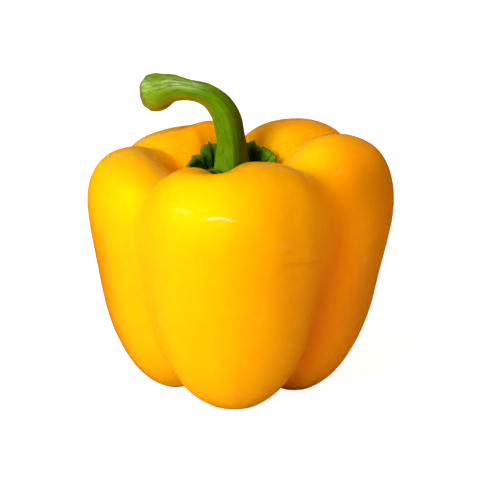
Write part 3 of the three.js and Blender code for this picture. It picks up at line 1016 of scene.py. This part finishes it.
def floor_material(settings):
    """A plain near-white floor that stays bright under soft shadows."""
    material, tree, surface = new_material("Pale floor")
    where = add(tree, "ShaderNodeTexCoord").outputs["Object"]
    grain = add(tree, "ShaderNodeTexNoise", {"Vector": where, "Scale": 300.0}).outputs["Fac"]
    path = add(tree, "ShaderNodeLightPath").outputs
    tone = blend_colour(tree, path["Is Glossy Ray"], FLOOR_CREAM, FLOOR_IN_GLOSS)
    tree.links.new(tone, surface.inputs["Base Color"])
    surface.inputs["Emission Color"].default_value = WHITE
    glow = maths(tree, "MULTIPLY", path["Is Camera Ray"], settings.floor_glow)
    tree.links.new(glow, surface.inputs["Emission Strength"])
    surface.inputs["Specular IOR Level"].default_value = 0.1
    tree.links.new(ranged(tree, grain, 0.0, 1.0, 0.75, 0.9), surface.inputs["Roughness"])
    return material


def make_world(settings):
    """White to look at, and a weaker warm fill to be lit by."""
    world = bpy.data.worlds.new("Studio")
    world.use_nodes = True
    tree = world.node_tree
    tree.nodes.clear()
    seen, fill, dim = (
        add(tree, "ShaderNodeBackground", {"Color": colour, "Strength": strength}).outputs["Background"]
        for colour, strength in (
            (WHITE, 1.0),
            (rgba(settings.fill), settings.fill_strength),
            (WORLD_IN_GLOSS, WORLD_GLOSS_STRENGTH),
        )
    )
    path = add(tree, "ShaderNodeLightPath").outputs
    lit = add(tree, "ShaderNodeMixShader", {0: path["Is Glossy Ray"], 1: fill, 2: dim}).outputs["Shader"]
    both = add(tree, "ShaderNodeMixShader", {0: path["Is Camera Ray"], 1: lit, 2: seen}).outputs["Shader"]
    output = add(tree, "ShaderNodeOutputWorld")
    tree.links.new(both, output.inputs["Surface"])
    return world


# Settings that a user would change

class PepperFruitSettings(bpy.types.PropertyGroup):
    """Fineness, colours and relief of the fruit"""

    columns: IntProperty(name="Columns", description="Faces round the fruit", default=336, min=48)
    rows: IntProperty(name="Rows", description="Faces from crown to blossom end", default=240, min=48)
    yellow: FloatVectorProperty(
        name="Yellow", description="Colour of the lobes", subtype="COLOR", size=3, min=0, max=1,
        default=(1.0, 0.5, 0.0),
    )
    # Orange: painted shade in the grooves and on the shaded side, and random mottle
    orange: FloatVectorProperty(
        name="Orange", description="Colour in the grooves and on the blushed side", subtype="COLOR",
        size=3, min=0, max=1, default=(0.94, 0.28, 0.0),
    )
    roughness: FloatProperty(
        name="Roughness", description="Roughness of the wax", subtype="FACTOR", default=0.34, min=0, max=1,
    )
    translucence: FloatProperty(
        name="Translucence", description="How much light the flesh passes on", subtype="FACTOR",
        default=0.25, min=0, max=1,
    )
    lump_height: FloatProperty(name="Lump height", description="Broad unevenness, mm", default=0.45)
    ripple_height: FloatProperty(name="Ripple height", description="Fine unevenness, mm", default=0.09)


class PepperCalyxSettings(bpy.types.PropertyGroup):
    """Fineness and colours of the calyx"""

    columns: IntProperty(name="Columns", description="Faces round the calyx", default=420, min=84)
    dark: FloatVectorProperty(
        name="Dark green", description="Colour of the blade", subtype="COLOR", size=3, min=0, max=1,
        default=(0.008, 0.035, 0.002),
    )
    light: FloatVectorProperty(
        name="Light green", description="Colour of ribs and edges", subtype="COLOR", size=3, min=0, max=1,
        default=(0.13, 0.28, 0.006),
    )


class PepperStemSettings(bpy.types.PropertyGroup):
    """Fineness, relief and colours of the stem"""

    columns: IntProperty(name="Columns", description="Faces round the stem", default=132, min=24)
    rows: IntProperty(name="Rows", description="Faces along the stem", default=300, min=48)
    fibre_height: FloatProperty(name="Fibre height", description="Height of the fibres, mm", default=0.07)
    green: FloatVectorProperty(
        name="Green", description="Colour of the stalk", subtype="COLOR", size=3, min=0, max=1,
        default=(0.11, 0.25, 0.0),
    )
    pale: FloatVectorProperty(
        name="Pale green", description="Colour of the swollen end", subtype="COLOR", size=3, min=0, max=1,
        default=(0.22, 0.38, 0.008),
    )
    # Dark green: the stalk's streaks and foot, and painted shade on one side
    dark: FloatVectorProperty(
        name="Dark green", description="Colour of the dark side, the streaks and the foot",
        subtype="COLOR", size=3, min=0, max=1, default=(0.035, 0.06, 0.0),
    )
    rim: FloatVectorProperty(
        name="Rim", description="Colour of the dried rim of the cut", subtype="COLOR", size=3, min=0, max=1,
        default=(0.20, 0.09, 0.02),
    )
    pith: FloatVectorProperty(
        name="Pith", description="Colour of the middle of the cut", subtype="COLOR", size=3, min=0, max=1,
        default=(0.55, 0.5, 0.28),
    )


class PepperStageSettings(bpy.types.PropertyGroup):
    """Camera, lamps and background"""

    elevation: FloatProperty(
        name="Elevation", description="Height of the camera above level", subtype="ANGLE",
        default=math.radians(15),
    )
    distance: FloatProperty(name="Distance", description="Camera to pepper", unit="LENGTH", default=0.6)
    lens: FloatProperty(name="Lens", description="Focal length of the camera, mm", default=150.0)
    aim_at: FloatVectorProperty(
        name="Aim", description="What the camera looks at", subtype="TRANSLATION", size=3,
        default=(0.2 * MM, -0.05 * MM, 45.4 * MM),
    )
    key_watts: FloatProperty(name="Key", description="Power of the main lamp", unit="POWER", default=8.9)
    top_watts: FloatProperty(name="Top", description="Power of the top lamp", unit="POWER", default=1.5)
    bounce_watts: FloatProperty(
        name="Bounce", description="Power of the warm light from the right", unit="POWER", default=1.35,
    )
    fill: FloatVectorProperty(
        name="Fill", description="Colour of the light from all round", subtype="COLOR", size=3, min=0,
        max=1, default=(1.0, 0.62, 0.25),
    )
    fill_strength: FloatProperty(name="Fill strength", description="Light from all round", default=0.34)
    floor_glow: FloatProperty(name="Floor glow", description="Brightness added to the floor", default=0.92)


# Operators

class PEPPER_OT_fruit(bpy.types.Operator):
    """Grow the lobed fruit around its solid"""

    bl_idname = "pepper.fruit"
    bl_label = "Fruit"

    def execute(self, context):
        settings = context.scene.pepper_fruit
        add_piece(fruit_mesh(settings), "fruit", skin_material(settings))
        return {"FINISHED"}


class PEPPER_OT_calyx(bpy.types.Operator):
    """Grow the leafy star in the crown"""

    bl_idname = "pepper.calyx"
    bl_label = "Calyx"

    def execute(self, context):
        settings = context.scene.pepper_calyx
        add_piece(calyx_mesh(settings), "calyx", calyx_material(settings))
        return {"FINISHED"}


class PEPPER_OT_stem(bpy.types.Operator):
    """Grow the hooked stem"""

    bl_idname = "pepper.stem"
    bl_label = "Stem"

    def execute(self, context):
        settings = context.scene.pepper_stem
        add_piece(stem_mesh(settings), "stem", stem_material(settings))
        return {"FINISHED"}


class PEPPER_OT_stage(bpy.types.Operator):
    """Set up the floor, the lamps and the camera"""

    bl_idname = "pepper.stage"
    bl_label = "Stage"

    def execute(self, context):
        scene = context.scene
        settings = scene.pepper_stage
        scene.view_settings.view_transform = "Standard"
        scene.world = make_world(settings)

        mesh = bpy.data.meshes.new("floor")
        signs = ((-1, -1), (1, -1), (1, 1), (-1, 1))
        mesh.from_pydata([(FLOOR_REACH * x, FLOOR_REACH * y, 0.0) for x, y in signs], [], [(0, 1, 2, 3)])
        mesh.materials.append(floor_material(settings))
        ground = bpy.data.objects.new("floor", mesh)
        scene.collection.objects.link(ground)

        middle = tuple(settings.aim_at)
        for lamp in SOFT_LAMPS:
            watts = getattr(settings, lamp["name"] + "_watts")
            softbox(middle, watts=watts, **lamp).visible_glossy = False
        for lamp in GLEAMS:
            gleam(middle, **lamp)

        lens = bpy.data.cameras.new("camera")
        lens.lens = settings.lens
        camera = bpy.data.objects.new("camera", lens)
        scene.collection.objects.link(camera)
        camera.location = around(middle, 0, math.degrees(settings.elevation), settings.distance)
        aim(camera, middle)
        scene.camera = camera
        return {"FINISHED"}


class PEPPER_PT_sidebar(bpy.types.Panel):
    """Lists the pieces of the pepper and its stage"""

    bl_idname = "PEPPER_PT_sidebar"
    bl_label = "Bell Pepper"
    bl_space_type = "VIEW_3D"
    bl_region_type = "UI"
    bl_category = "Pepper"

    def draw(self, context):
        for step in STEPS:
            self.layout.operator(step.bl_idname)


STEPS = (PEPPER_OT_stage, PEPPER_OT_fruit, PEPPER_OT_calyx, PEPPER_OT_stem)
SETTINGS = {
    "pepper_fruit": PepperFruitSettings,
    "pepper_calyx": PepperCalyxSettings,
    "pepper_stem": PepperStemSettings,
    "pepper_stage": PepperStageSettings,
}
CLASSES = (*SETTINGS.values(), *STEPS, PEPPER_PT_sidebar)


def register():
    """Makes the classes known, and gives a scene its settings."""
    for item in CLASSES:
        bpy.utils.register_class(item)
    for name, kind in SETTINGS.items():
        setattr(bpy.types.Scene, name, PointerProperty(type=kind))


def unregister():
    """Takes the settings and the classes away again."""
    for name in SETTINGS:
        delattr(bpy.types.Scene, name)
    for item in reversed(CLASSES):
        bpy.utils.unregister_class(item)


def main():
    """Builds the whole scene."""
    register()
    bpy.ops.pepper.stage()
    bpy.ops.pepper.fruit()
    bpy.ops.pepper.calyx()
    bpy.ops.pepper.stem()


if __name__ == "__main__":
    main()
